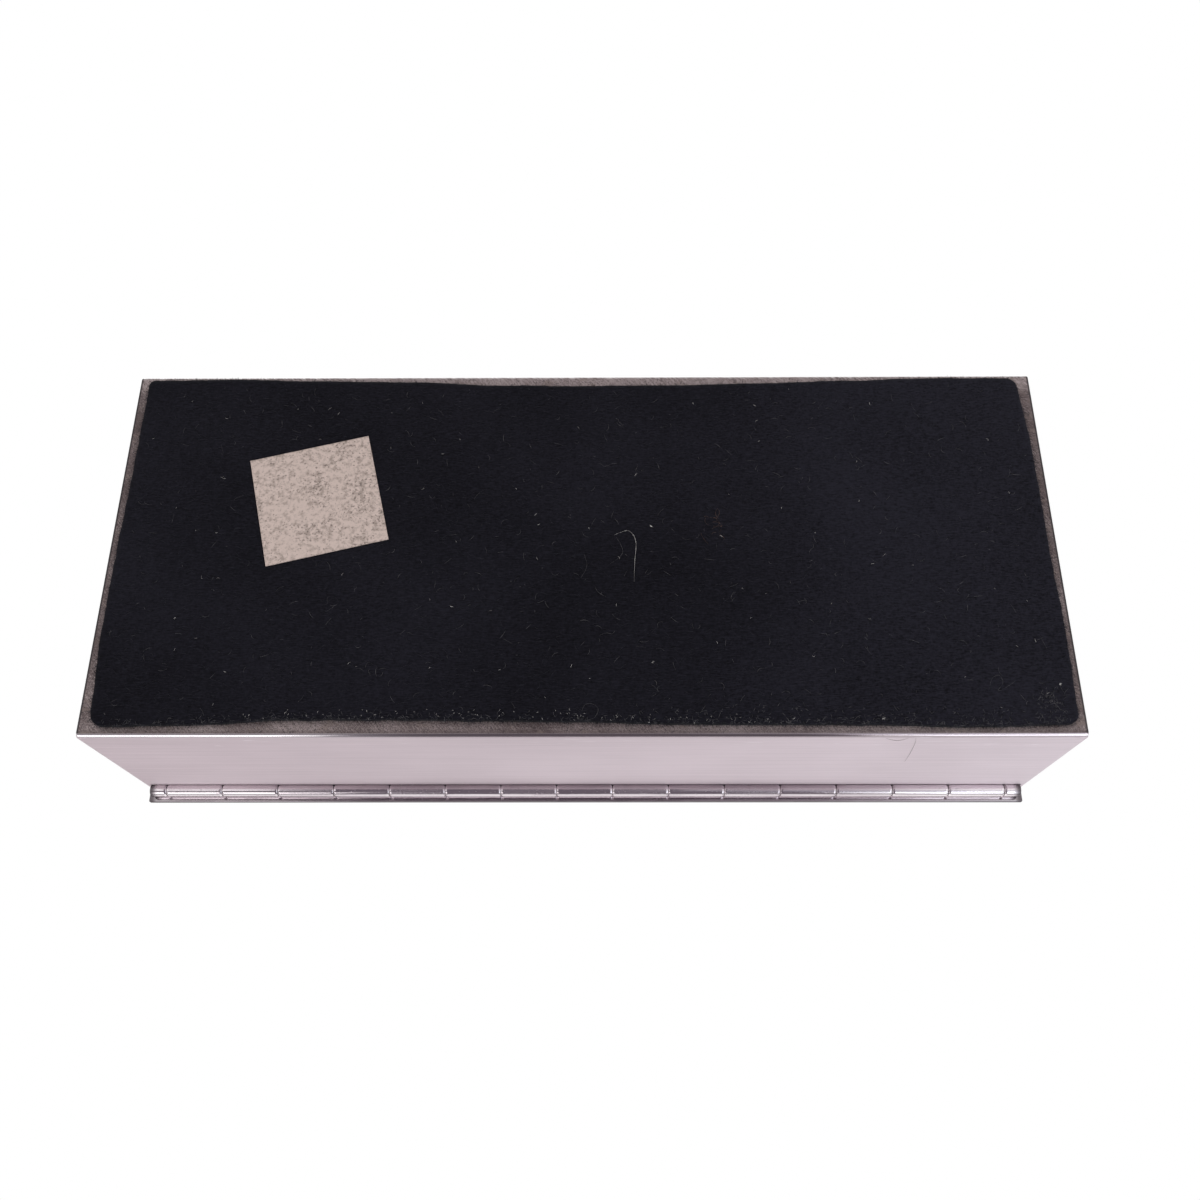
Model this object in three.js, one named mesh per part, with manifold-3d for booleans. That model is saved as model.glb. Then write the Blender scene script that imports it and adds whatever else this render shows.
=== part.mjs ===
// A long, low cigarette box of stainless steel, with a plate lid on a continuous hinge.
// The box stands on a felt base, and thin wooden boards line the inside in two compartments.
// Millimetres, +Z up. Z = 0 is the felt's underside, X runs along the box, and the hinge is at +Y.

import * as THREE from 'three';
import { mergeVertices } from 'three/addons/utils/BufferGeometryUtils.js';
import Module from 'manifold-3d';

const wasm = await Module();
wasm.setup();

// Steel body: one sheet bent to a channel, with a plate let into each end
const BODY_LENGTH = 200;
const BODY_DEPTH = 84.4;
const BODY_HEIGHT = 41;
const BODY_SHEET = 0.8;
const BEND_INSIDE = 0.2;
const END_SHEET = 0.8;
const WELD_GAP = 0.1;

// Felt base, and the blank paper label stuck on it
const FELT_THICKNESS = 1.5;
const FELT_BORDER = 2.6;
const FELT_CORNER = 5;
const LABEL_SIDE = 26;
const LABEL_THICKNESS = 0.2;
const LABEL_RECESS = 0.05;
const LABEL_GAP = 0.3;
const LABEL_FROM_END = 43.4;
const LABEL_FROM_FRONT = 32.2;
const LABEL_TURN = THREE.MathUtils.degToRad(-13.9);

// Plate lid, flush with the ends of the body, with a lip past its front and back walls
const LID_THICKNESS = 1.2;
const LID_LIP = 3.3;
const LID_EDGE = 0.3;

// Continuous hinge of rolled sheet: an odd count of whole knuckles, so the body's leaf has the outer two.
// The stock is cut to the length between the ends, which leaves the lid's leaf a short knuckle at each end.
const KNUCKLE_PITCH = 12.7;
const KNUCKLE_GAP = 0.3;
const KNUCKLE_EDGE = 0.15;
const SHORTEST_KNUCKLE = 1;
const HINGE_END_GAP = 0.2;
const LEAF_SHEET = 0.55;
const LEAF_WIDTH = 9;
const LEAF_GAP = 0.2;
const LEAF_REACH = 0.15;
const PIN_RADIUS = 0.85;
const PIN_FIT = 0.08;
const HINGE_CLEARANCE = 0.1;
const KNUCKLE_CLEARANCE = 0.2;
const NOTCH_GAP = 0.3;
const LID_ROLL = [90, -210];
const BODY_ROLL_END = 490;

// Wooden lining
const BOARD = 3;
const BOARD_EDGE = 0.6;
const LINING_FIT = 0.15;
const RIM_DROP = 2;

// How finely round shapes are divided
const BEND_STEPS = 5;
const ROLL_STEPS = 11;
const PIN_SIDES = 24;

// Places that follow from the sizes
const bodyBottom = FELT_THICKNESS;
const rim = bodyBottom + BODY_HEIGHT;
const steelFloor = bodyBottom + BODY_SHEET;
const wallOuter = BODY_DEPTH / 2;
const wallInner = wallOuter - BODY_SHEET;
const endInner = BODY_LENGTH / 2 - END_SHEET;

const boreRadius = PIN_RADIUS + PIN_FIT;
const barrelRadius = boreRadius + LEAF_SHEET;
const leafEdge = wallInner + LEAF_REACH;
const axisY = leafEdge + KNUCKLE_CLEARANCE + barrelRadius;
const axisZ = rim - HINGE_CLEARANCE - barrelRadius;
const notchFloor = axisZ - barrelRadius - NOTCH_GAP;
const hingeLength = 2 * (endInner - HINGE_END_GAP);
const knucklesThatFit = Math.floor(hingeLength / KNUCKLE_PITCH);
const knuckleCount = knucklesThatFit % 2 ? knucklesThatFit : knucklesThatFit - 1;
const lidLeafBottom = rim - LEAF_SHEET;
const bodyLeafTop = lidLeafBottom - LEAF_GAP;
const bodyLeafBottom = bodyLeafTop - LEAF_SHEET;
const bodyRollStart = 180 - THREE.MathUtils.radToDeg(Math.asin((bodyLeafTop - axisZ) / barrelRadius));

const liningFloorTop = steelFloor + BOARD;
const liningTop = rim - RIM_DROP;
const liningLength = 2 * (endInner - LINING_FIT);
const liningFront = -wallInner + LINING_FIT;
const liningBack = wallInner - LEAF_SHEET - LINING_FIT;

// Finishes
const finish = (color, roughness, metalness) => () =>
  new THREE.MeshStandardMaterial({ color, roughness, metalness });
const brushedSteel = finish(0xc6bfc2, 0.38, 1);
const polishedSteel = finish(0xd4d2d4, 0.12, 1);
const blackFelt = finish(0x1c1b22, 1, 0);
const agedPaper = finish(0xc8b8b1, 0.85, 0);
const cedar = finish(0xb07a4c, 0.7, 0);

// The finished pieces are collected in one group
const box = new THREE.Group();

function addPiece(name, geometry, material) {
  const mesh = new THREE.Mesh(geometry, material());
  mesh.name = name;
  box.add(mesh);
  return mesh;
}

// A closed solid for joining and cutting, from a geometry of three.js
function solidOf(geometry) {
  const bare = geometry.clone();
  bare.deleteAttribute('normal');
  bare.deleteAttribute('uv');
  const merged = mergeVertices(bare);
  const vertProperties = new Float32Array(merged.attributes.position.array);
  const triVerts = new Uint32Array(merged.index.array);
  return new wasm.Manifold(new wasm.Mesh({ numProp: 3, vertProperties, triVerts }));
}

function geometryOf(solid) {
  const { vertProperties, triVerts } = solid.getMesh();
  const indexed = new THREE.BufferGeometry();
  indexed.setAttribute('position', new THREE.BufferAttribute(vertProperties, 3));
  indexed.setIndex(new THREE.BufferAttribute(triVerts, 1));
  const geometry = indexed.toNonIndexed();
  geometry.computeVertexNormals();
  return geometry;
}

// A profile drawn in the YZ plane, drawn out along X and centred on X = 0
const alongX = new THREE.Matrix4().makeBasis(
  new THREE.Vector3(0, 1, 0),
  new THREE.Vector3(0, 0, 1),
  new THREE.Vector3(1, 0, 0),
);

function prismAlongX(profile, length, steps = BEND_STEPS, edge = 0) {
  const straight = length - 2 * edge;
  const geometry = new THREE.ExtrudeGeometry(profile, {
    depth: straight,
    curveSegments: steps,
    bevelEnabled: edge > 0,
    bevelThickness: edge,
    bevelSize: edge,
    bevelOffset: -edge,
    bevelSegments: 1,
  });
  geometry.translate(0, 0, -straight / 2);
  return geometry.applyMatrix4(alongX);
}

// A rectangle from its low corner to its high corner, with its two upper corners rounded
function archedRectangle(x0, y0, x1, y1, radius) {
  const shape = new THREE.Shape();
  shape.moveTo(x0, y0);
  shape.lineTo(x1, y0);
  shape.absarc(x1 - radius, y1 - radius, radius, 0, Math.PI / 2, false);
  shape.absarc(x0 + radius, y1 - radius, radius, Math.PI / 2, Math.PI, false);
  return shape;
}

function polygon(...corners) {
  return new THREE.Shape(corners.map(([x, y]) => new THREE.Vector2(x, y)));
}

function rectangle(x0, y0, x1, y1) {
  return polygon([x0, y0], [x1, y0], [x1, y1], [x0, y1]);
}

function roundedRectangle(length, width, radius) {
  const x = length / 2 - radius;
  const y = width / 2 - radius;
  const quarter = Math.PI / 2;
  const shape = new THREE.Shape();
  shape.absarc(x, -y, radius, -quarter, 0, false);
  shape.absarc(x, y, radius, 0, quarter, false);
  shape.absarc(-x, y, radius, quarter, 2 * quarter, false);
  shape.absarc(-x, -y, radius, 2 * quarter, 3 * quarter, false);
  return shape;
}

// Body channel: front wall, bottom and back wall bent from one sheet
function channelProfile() {
  const outside = BEND_INSIDE + BODY_SHEET;
  const bendY = wallOuter - outside;
  const bendZ = bodyBottom + outside;
  const quarter = Math.PI / 2;
  const shape = new THREE.Shape();
  shape.moveTo(-wallOuter, rim);
  shape.absarc(-bendY, bendZ, outside, 2 * quarter, 3 * quarter, false);
  shape.absarc(bendY, bendZ, outside, 3 * quarter, 4 * quarter, false);
  shape.lineTo(wallOuter, rim);
  shape.lineTo(wallInner, rim);
  shape.absarc(bendY, bendZ, BEND_INSIDE, 4 * quarter, 3 * quarter, true);
  shape.absarc(-bendY, bendZ, BEND_INSIDE, 3 * quarter, 2 * quarter, true);
  shape.lineTo(-wallInner, rim);
  return shape;
}

// The rim of the back wall is lowered along the hinge, so that the barrel lies partly over the wall
function hingeNotch() {
  const notch = new THREE.BoxGeometry(2 * endInner, 4 * BODY_SHEET, 2 * (rim - notchFloor));
  notch.translate(0, (wallOuter + wallInner) / 2, rim);
  return solidOf(notch);
}

function addBody() {
  const channel = solidOf(prismAlongX(channelProfile(), BODY_LENGTH));
  addPiece('body_channel', geometryOf(channel.subtract(hingeNotch())), brushedSteel);

  const corner = BEND_INSIDE + WELD_GAP;
  const endProfile = archedRectangle(-wallInner, -rim, wallInner, -steelFloor, corner);
  const endPlate = prismAlongX(endProfile, END_SHEET);
  for (const [name, side] of [['end_plate_left', -1], ['end_plate_right', 1]]) {
    const plate = addPiece(name, endPlate.clone(), brushedSteel);
    plate.position.x = side * (endInner + END_SHEET / 2);
    plate.rotation.x = Math.PI;
  }
}

// Felt base with a shallow pocket, pressed in by the label
function addBase() {
  const outline = roundedRectangle(
    BODY_LENGTH - 2 * FELT_BORDER,
    BODY_DEPTH - 2 * FELT_BORDER,
    FELT_CORNER,
  );
  const feltSheet = new THREE.ExtrudeGeometry(outline, {
    depth: FELT_THICKNESS,
    bevelEnabled: false,
    curveSegments: 2 * BEND_STEPS,
  });
  const labelX = LABEL_FROM_END - BODY_LENGTH / 2;
  const labelY = LABEL_FROM_FRONT - BODY_DEPTH / 2;
  const pocketSide = LABEL_SIDE + 2 * LABEL_GAP;
  const pocketDepth = LABEL_RECESS + LABEL_THICKNESS;
  const pocket = new THREE.BoxGeometry(pocketSide, pocketSide, 2 * pocketDepth);
  pocket.rotateZ(LABEL_TURN);
  pocket.translate(labelX, labelY, 0);
  addPiece('base_felt', geometryOf(solidOf(feltSheet).subtract(solidOf(pocket))), blackFelt);

  const sheet = new THREE.BoxGeometry(LABEL_SIDE, LABEL_SIDE, LABEL_THICKNESS);
  const label = addPiece('base_label', sheet, agedPaper);
  label.position.set(labelX, labelY, LABEL_RECESS + LABEL_THICKNESS / 2);
  label.rotation.z = LABEL_TURN;
}

// Lid: a plate with all its edges rounded, lying on the rims
function addLid() {
  const depth = BODY_DEPTH + 2 * LID_LIP;
  const outline = rectangle(-BODY_LENGTH / 2, -depth / 2, BODY_LENGTH / 2, depth / 2);
  const plate = new THREE.ExtrudeGeometry(outline, {
    depth: LID_THICKNESS - 2 * LID_EDGE,
    bevelThickness: LID_EDGE,
    bevelSize: LID_EDGE,
    bevelOffset: -LID_EDGE,
    bevelSegments: BEND_STEPS,
  });
  const lid = addPiece('lid_plate', plate, polishedSteel);
  lid.position.z = rim + LID_EDGE;
}

// Where a knuckle lies along the hinge: the ends of the stock cut the outermost ones short
function knuckleSpan(k) {
  const middle = (k - (knuckleCount - 1) / 2) * KNUCKLE_PITCH;
  const half = (KNUCKLE_PITCH - KNUCKLE_GAP) / 2;
  return [Math.max(middle - half, -hingeLength / 2), Math.min(middle + half, hingeLength / 2)];
}

// One knuckle: the tab of a leaf rolled round the pin, from one angle to another, with an open seam
function knuckle([low, high], tab, [from, to]) {
  const length = high - low;
  const middle = (low + high) / 2;
  const start = THREE.MathUtils.degToRad(from);
  const end = THREE.MathUtils.degToRad(to);
  const clockwise = end < start;
  const roll = new THREE.Shape();
  roll.absarc(axisY, axisZ, barrelRadius, start, end, clockwise);
  roll.absarc(axisY, axisZ, boreRadius, end, start, !clockwise);
  const rolled = prismAlongX(roll, length, ROLL_STEPS, KNUCKLE_EDGE);
  const flat = prismAlongX(tab, length - 2 * KNUCKLE_EDGE);
  rolled.translate(middle, 0, 0);
  flat.translate(middle, 0, 0);
  return solidOf(rolled).add(solidOf(flat));
}

// A leaf is its bent strip with every second knuckle, from the given first one
function hingeLeaf(strip, tab, roll, first) {
  let leaf = solidOf(prismAlongX(strip, hingeLength));
  for (let k = first; k <= knuckleCount; k += 2) {
    const span = knuckleSpan(k);
    if (span[1] - span[0] < SHORTEST_KNUCKLE) continue;
    leaf = leaf.add(knuckle(span, tab, roll));
  }
  return geometryOf(leaf);
}

// The leaf of the body comes in above the lowered rim and is bent down inside the back wall
function bodyLeafStrip() {
  const inside = wallInner - LEAF_SHEET;
  const shape = new THREE.Shape();
  shape.moveTo(leafEdge, bodyLeafBottom);
  shape.lineTo(leafEdge, bodyLeafTop);
  shape.absarc(inside + LEAF_SHEET, bodyLeafBottom, LEAF_SHEET, Math.PI / 2, Math.PI, false);
  shape.lineTo(inside, bodyLeafTop - LEAF_WIDTH);
  shape.lineTo(wallInner, bodyLeafTop - LEAF_WIDTH);
  shape.lineTo(wallInner, bodyLeafBottom);
  return shape;
}

function addHinge() {
  const rollSide = axisY + barrelRadius * Math.cos(THREE.MathUtils.degToRad(bodyRollStart));
  const bodyTab = rectangle(leafEdge - LEAF_REACH / 2, bodyLeafBottom, rollSide, bodyLeafTop);
  const bodyRoll = [bodyRollStart, BODY_ROLL_END];
  addPiece('hinge_leaf_body', hingeLeaf(bodyLeafStrip(), bodyTab, bodyRoll, 0), polishedSteel);

  const root = leafEdge - LEAF_SHEET;
  const lidStrip = rectangle(axisY - barrelRadius - LEAF_WIDTH, lidLeafBottom, leafEdge, rim);
  const lidTab = polygon(
    [root, lidLeafBottom],
    [leafEdge, lidLeafBottom],
    [axisY, axisZ + boreRadius],
    [axisY, axisZ + barrelRadius],
    [leafEdge, rim],
    [root, rim],
  );
  addPiece('hinge_leaf_lid', hingeLeaf(lidStrip, lidTab, LID_ROLL, -1), polishedSteel);

  const rod = new THREE.CylinderGeometry(PIN_RADIUS, PIN_RADIUS, hingeLength, PIN_SIDES);
  rod.rotateZ(Math.PI / 2);
  const pin = addPiece('hinge_pin', rod, polishedSteel);
  pin.position.set(0, axisY, axisZ);
}

// Lining: a floor board, four boards round the walls and a divider across the middle
function addLining() {
  const floorEdge = wallInner - BEND_INSIDE - LINING_FIT;
  const floor = rectangle(-floorEdge, steelFloor, floorEdge, liningFloorTop);
  addPiece('lining_floor', prismAlongX(floor, liningLength), cedar);

  const upright = archedRectangle(-BOARD / 2, liningFloorTop, BOARD / 2, liningTop, BOARD_EDGE);
  const longBoards = [
    ['lining_front', liningFront + BOARD / 2],
    ['lining_back', liningBack - BOARD / 2],
  ];
  for (const [name, y] of longBoards) {
    addPiece(name, prismAlongX(upright, liningLength), cedar).position.y = y;
  }

  const crossLength = liningBack - liningFront - 2 * BOARD;
  const endBoard = (liningLength - BOARD) / 2;
  const crossBoards = [['lining_left', -endBoard], ['lining_divider', 0], ['lining_right', endBoard]];
  for (const [name, x] of crossBoards) {
    const board = addPiece(name, prismAlongX(upright, crossLength), cedar);
    board.position.set(x, (liningFront + liningBack) / 2, 0);
    board.rotation.z = Math.PI / 2;
  }
}

addBody();
addBase();
addHinge();
addLining();
addLid();

export default box;
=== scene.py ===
# %% [markdown]
# # A steel cigarette box
# The box was designed as solid parts: a folded steel body, a plate lid on a continuous hinge, a felt base
# and a wooden lining. We load those parts as a fixed frame and give each one its finished look. Everything
# is in metres, in the frame of the design, so a new piece goes straight to its place with no fitting.

# %% Load the frame
import math
import random

import bmesh
import bpy
from mathutils import Matrix, Vector, noise


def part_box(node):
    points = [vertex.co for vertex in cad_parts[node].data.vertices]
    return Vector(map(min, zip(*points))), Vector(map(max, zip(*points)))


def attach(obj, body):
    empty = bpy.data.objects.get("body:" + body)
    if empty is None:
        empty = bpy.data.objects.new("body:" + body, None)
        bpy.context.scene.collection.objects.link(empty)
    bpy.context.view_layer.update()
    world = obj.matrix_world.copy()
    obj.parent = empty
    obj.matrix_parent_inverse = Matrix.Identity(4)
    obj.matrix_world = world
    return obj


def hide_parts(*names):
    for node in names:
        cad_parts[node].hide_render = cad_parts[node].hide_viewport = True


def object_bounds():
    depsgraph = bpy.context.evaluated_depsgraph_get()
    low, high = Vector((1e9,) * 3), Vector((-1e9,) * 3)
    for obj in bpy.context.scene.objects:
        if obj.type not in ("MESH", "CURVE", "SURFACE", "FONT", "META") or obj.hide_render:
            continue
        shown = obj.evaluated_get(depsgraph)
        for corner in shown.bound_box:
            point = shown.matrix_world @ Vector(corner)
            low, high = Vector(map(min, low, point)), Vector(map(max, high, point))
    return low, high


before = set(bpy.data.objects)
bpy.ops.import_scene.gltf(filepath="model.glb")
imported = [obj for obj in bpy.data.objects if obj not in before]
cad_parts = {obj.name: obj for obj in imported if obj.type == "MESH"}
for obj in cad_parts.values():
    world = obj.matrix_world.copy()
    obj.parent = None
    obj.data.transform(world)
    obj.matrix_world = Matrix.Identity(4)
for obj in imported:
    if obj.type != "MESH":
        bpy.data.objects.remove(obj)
cad_low, cad_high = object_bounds()
MM = 0.001
print("design box in mm:", [round(side / MM, 1) for side in cad_high - cad_low])

# %% [markdown]
# The sizes that the new pieces share are read from the design, so that a changed design moves them too.
# Only what a box can't tell, such as the radius of a bend, is written here as a size of its own.

# %% Read the sizes
body_low, body_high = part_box("body_channel")
lid_low, lid_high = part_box("lid_plate")
felt_low, felt_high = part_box("base_felt")
label_low, label_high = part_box("base_label")
pin_low, pin_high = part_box("hinge_pin")
leaf_low, leaf_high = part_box("hinge_leaf_body")
lid_leaf_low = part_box("hinge_leaf_lid")[0]

half_length, wall = body_high.x, body_high.y
bottom, rim = body_low.z, body_high.z
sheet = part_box("lining_floor")[0].z - bottom
leaf_sheet = wall - sheet - leaf_low.y
hinge_axis = (pin_low + pin_high) / 2
pin_radius = (pin_high.z - pin_low.z) / 2
barrel_radius = leaf_high.y - hinge_axis.y
print("sheet", round(sheet / MM, 2), "mm, hinge leaf", round(leaf_sheet / MM, 2), "mm")

# %% [markdown]
# ## Shader maths in plain Python
# A node tree is hard to read in code when every link is a line of its own. Here a small class wraps a
# socket, so that sums and products are written as Python and each operator adds one Math node. Any other
# node comes from one method that takes its type, its settings and the values of its sockets.

# %% Sockets as values
class Wire:
    """An output socket that works in expressions."""

    def __init__(self, finish, socket):
        self.finish = finish
        self.socket = socket

    def math(self, operation, *values):
        return self.finish.node("ShaderNodeMath", {"operation": operation}, dict(enumerate(values)))

    def __add__(self, other):
        return self.math("ADD", self, other)

    def __sub__(self, other):
        return self.math("SUBTRACT", self, other)

    def __rsub__(self, other):
        return self.math("SUBTRACT", other, self)

    def __mul__(self, other):
        return self.math("MULTIPLY", self, other)

    def __abs__(self):
        return self.math("ABSOLUTE", self)

    __radd__ = __add__
    __rmul__ = __mul__

    def rise(self, low, high):
        """0 below low, 1 above high, and a soft step between; with low above high it falls."""
        sockets = {"Value": self, "From Min": low, "From Max": high}
        return self.finish.node("ShaderNodeMapRange", {"interpolation_type": "SMOOTHSTEP"}, sockets)


# %% One finish is one material
class Finish:
    """The node tree of a new material, or of a new world."""

    def __init__(self, name, collection=bpy.data.materials):
        self.made = collection.new(name)
        self.made.use_nodes = True
        self.tree = self.made.node_tree
        self.tree.nodes.clear()

    def node(self, kind, settings=None, sockets=None, out=0):
        made = self.tree.nodes.new(kind)
        for key, value in (settings or {}).items():
            setattr(made, key, value)
        for key, value in (sockets or {}).items():
            if isinstance(value, Wire):
                self.tree.links.new(value.socket, made.inputs[key])
            else:
                made.inputs[key].default_value = value
        return Wire(self, made.outputs[out])

    def place(self):
        return self.node("ShaderNodeTexCoord", out="Object")

    def axes(self):
        return [self.node("ShaderNodeSeparateXYZ", None, {0: self.place()}, axis) for axis in "XYZ"]

    def grain(self, size, detail=2.0, roughness=0.5, turn=0.0, distortion=0.0):
        """Noise whose blotches have this size in metres along X, Y and Z, turned about Z."""
        turned = self.node("ShaderNodeMapping", None, {"Vector": self.place(), "Rotation": (0, 0, turn)})
        stretch = {"Vector": turned, "Scale": tuple(1 / side for side in size)}
        stretched = self.node("ShaderNodeMapping", None, stretch)
        sockets = {"Vector": stretched, "Scale": 1.0, "Detail": detail, "Roughness": roughness,
                   "Distortion": distortion}
        return self.node("ShaderNodeTexNoise", None, sockets)

    def mix(self, share, first, second):
        """A colour between two colours."""
        sockets = {0: share, 6: (*first, 1) if isinstance(first, tuple) else first,
                   7: (*second, 1) if isinstance(second, tuple) else second}
        return self.node("ShaderNodeMix", {"data_type": "RGBA"}, sockets, 2)

    def bump(self, height, depth, strength):
        sockets = {"Height": height, "Distance": depth, "Strength": strength}
        return self.node("ShaderNodeBump", None, sockets)

    def surface(self, **sockets):
        """The Principled shader; an underscore in a name stands for a space."""
        named = {key.replace("_", " "): value for key, value in sockets.items()}
        self.show(self.node("ShaderNodeBsdfPrincipled", None, named))
        return self.made

    def show(self, shader, kind="ShaderNodeOutputMaterial"):
        output = self.tree.nodes.new(kind)
        self.tree.links.new(shader.socket, output.inputs["Surface"])


# %% [markdown]
# ## Camera
# The photograph looks at the box lying upside down on its lid. In the frame of the design the box stands
# the right way up, so the same view has the camera below the base and behind the hinge, looking up.

# %% Camera
CAMERA_PLACE = Vector((5.26, 106.5, -217.23)) * MM
CAMERA_TURN = [math.radians(angle) for angle in (-156.833, -0.372, -0.066)]
LENS = 34.47

lens = bpy.data.cameras.new("camera")
lens.lens = LENS
lens.sensor_width = 36
lens.clip_start = 5 * MM
camera = bpy.data.objects.new("camera", lens)
camera.location = CAMERA_PLACE
camera.rotation_euler = CAMERA_TURN
bpy.context.scene.collection.objects.link(camera)
bpy.context.scene.camera = camera
print("camera at", [round(side / MM) for side in CAMERA_PLACE], "mm")

# %% [markdown]
# ## Light and floor
# A white tent is the usual studio for steel: the metal shows the white all round it, and soft lamps give it
# shape. The world is white where the camera or a mirror looks at it, and gives plain soft light otherwise.
# Lamps stand above and below, because the photograph shows the underside. The two below don't show in the
# metal, because the open lid would mirror them as white patches. The floor is seen from above only, so that
# it carries the shadow there and never hides the base from the camera below.

# %% White surroundings
AMBIENT = 0.6
WHITE = (1, 1, 1)

tent = Finish("white tent", bpy.data.worlds)
seen = 0
for kind in ("Is Camera Ray", "Is Glossy Ray", "Is Transmission Ray"):
    ray = tent.node("ShaderNodeLightPath", out=kind)
    seen = ray.math("MAXIMUM", ray, seen)
soft, white = [tent.node("ShaderNodeBackground", None, {"Color": (*WHITE, 1), "Strength": strength})
               for strength in (AMBIENT, 1.0)]
tent.show(tent.node("ShaderNodeMixShader", None, {0: seen, 1: soft, 2: white}), "ShaderNodeOutputWorld")
bpy.context.scene.world = tent.made
bpy.context.scene.view_settings.view_transform = "Standard"
print("world", tent.made.name, "gives", AMBIENT, "of plain light")

# %% Lamps
COOL = (0.85, 0.95, 1.0)


def soft_lamp(name, place, size, power, colour=WHITE):
    """A lamp that faces the middle of the box and isn't itself in the picture."""
    light = bpy.data.lights.new(name, "AREA")
    light.shape = "RECTANGLE"
    light.size, light.size_y = size
    light.energy = power
    light.color = colour
    lamp = bpy.data.objects.new(name, light)
    lamp.location = place
    aim = (cad_low + cad_high) / 2 - Vector(place)
    lamp.rotation_euler = aim.to_track_quat("-Z", "Y").to_euler()
    lamp.visible_camera = False
    bpy.context.scene.collection.objects.link(lamp)
    return lamp


soft_lamp("lamp over front", (-0.35, -0.45, 0.62), (0.9, 0.9), 2.6)
soft_lamp("lamp over back", (0.62, 0.1, 0.5), (0.4, 0.4), 1.1)
soft_lamp("lamp under left", (-0.48, -0.05, -0.3), (0.5, 0.5), 0.72).visible_glossy = False
soft_lamp("lamp under right", (0.48, -0.05, -0.3), (0.5, 0.5), 0.8).visible_glossy = False
soft_lamp("window left", (-0.24, 0.34, -0.09), (0.2, 0.15), 0.13)
soft_lamp("window right", (0.26, 0.33, -0.16), (0.25, 0.3), 0.33, COOL)
print(len(bpy.data.lights), "lamps")

# %% [markdown]
# Polished metal has no look of its own, it shows what stands round it. So a studio sets up cards that only
# the metal sees. Two dark ones and a backdrop that turns from dark to grey stand behind the camera and give
# the hinge and the bends their dark line. The ceiling, which is below the box in this frame, is grey with
# white sides, and the card over the table is white with a dark left side and a grey right one. Soft grey
# panels at the four corners of the room keep the other faces from going flat.

# %% Floor and cards
FLOOR_SIZE = 8.0
FLOOR_DROP = 0.2 * MM
CARD_COLOUR = (0.16, 0.14, 0.165)
CEILING_GREY = (0.46, 0.43, 0.46)
TABLE_LEFT = (0.14, 0.08, 0.09)
TABLE_RIGHT = (0.7, 0.7, 0.7)
BACKDROP_DARK = (0.16, 0.14, 0.155)
BACKDROP_GREY = (0.42, 0.41, 0.47)
ROOM_RADIUS = 0.9
ROOM_HEIGHT = 1.6
PANEL_COLOUR = (0.34, 0.33, 0.34)
FLOOR_COLOUR = (0.9, 0.9, 0.905)


def stage_piece(name, bm, material, hidden_from):
    mesh = bpy.data.meshes.new(name)
    bm.to_mesh(mesh)
    bm.free()
    mesh.materials.append(material)
    piece = bpy.data.objects.new(name, mesh)
    bpy.context.scene.collection.objects.link(piece)
    for kind in hidden_from:
        setattr(piece, "visible_" + kind, False)
    return piece


def rectangle(width, depth, middle, tilt=0.0):
    """A flat rectangle, turned about X."""
    bm = bmesh.new()
    bmesh.ops.create_grid(bm, x_segments=1, y_segments=1, size=0.5)
    bmesh.ops.scale(bm, vec=(width, depth, 1), verts=bm.verts)
    bmesh.ops.rotate(bm, cent=(0, 0, 0), matrix=Matrix.Rotation(tilt, 3, "X"), verts=bm.verts)
    bmesh.ops.translate(bm, vec=middle, verts=bm.verts)
    return bm


def floor_paint():
    """Pale paint that fades into the white surroundings, and is clear from below."""
    paint = Finish("floor paint")
    x, y, _ = paint.axes()
    far = (x * x + y * y).rise(0.12, 1.4)
    below = paint.node("ShaderNodeNewGeometry", out="Backfacing")
    clear = far.math("MAXIMUM", far, below)
    pale = paint.node("ShaderNodeBsdfDiffuse", None, {"Color": (*FLOOR_COLOUR, 1)})
    nothing = paint.node("ShaderNodeBsdfTransparent")
    paint.show(paint.node("ShaderNodeMixShader", None, {0: clear, 1: pale, 2: nothing}))
    return paint.made


def card_paint(name, colour):
    """A plain colour, or a function that makes one from X."""
    paint = Finish(name)
    tone = (*colour, 1) if isinstance(colour, tuple) else colour(paint, paint.axes()[0])
    paint.show(paint.node("ShaderNodeEmission", None, {"Color": tone}))
    return paint.made


def ceiling_tone(paint, x):
    """Grey over the box and white to its left and right."""
    return paint.mix(abs(x).rise(0.14, 0.34), CEILING_GREY, WHITE)


def table_tone(paint, x):
    """White in the middle, dark on the left and grey on the right."""
    left = paint.mix(x.rise(-0.1, -0.26), WHITE, TABLE_LEFT)
    return paint.mix(x.rise(0.12, 0.28), left, TABLE_RIGHT)


def backdrop_tone(paint, x):
    """Dark on the left, grey on the right."""
    return paint.mix(x.rise(-0.1, 0.25), BACKDROP_DARK, BACKDROP_GREY)


def panel_paint():
    """Grey towards the corners of the room and near the height of the floor, clear elsewhere."""
    paint = Finish("grey panels")
    x, y, z = paint.axes()
    corner = abs(x * y).rise(0.14 * ROOM_RADIUS ** 2, 0.42 * ROOM_RADIUS ** 2)
    band = z.rise(0.55 * ROOM_RADIUS, 0.15 * ROOM_RADIUS) * z.rise(-0.7 * ROOM_RADIUS, -0.3 * ROOM_RADIUS)
    grey = paint.node("ShaderNodeEmission", None, {"Color": (*PANEL_COLOUR, 1)})
    nothing = paint.node("ShaderNodeBsdfTransparent")
    paint.show(paint.node("ShaderNodeMixShader", None, {0: corner * band, 1: nothing, 2: grey}))
    return paint.made


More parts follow.
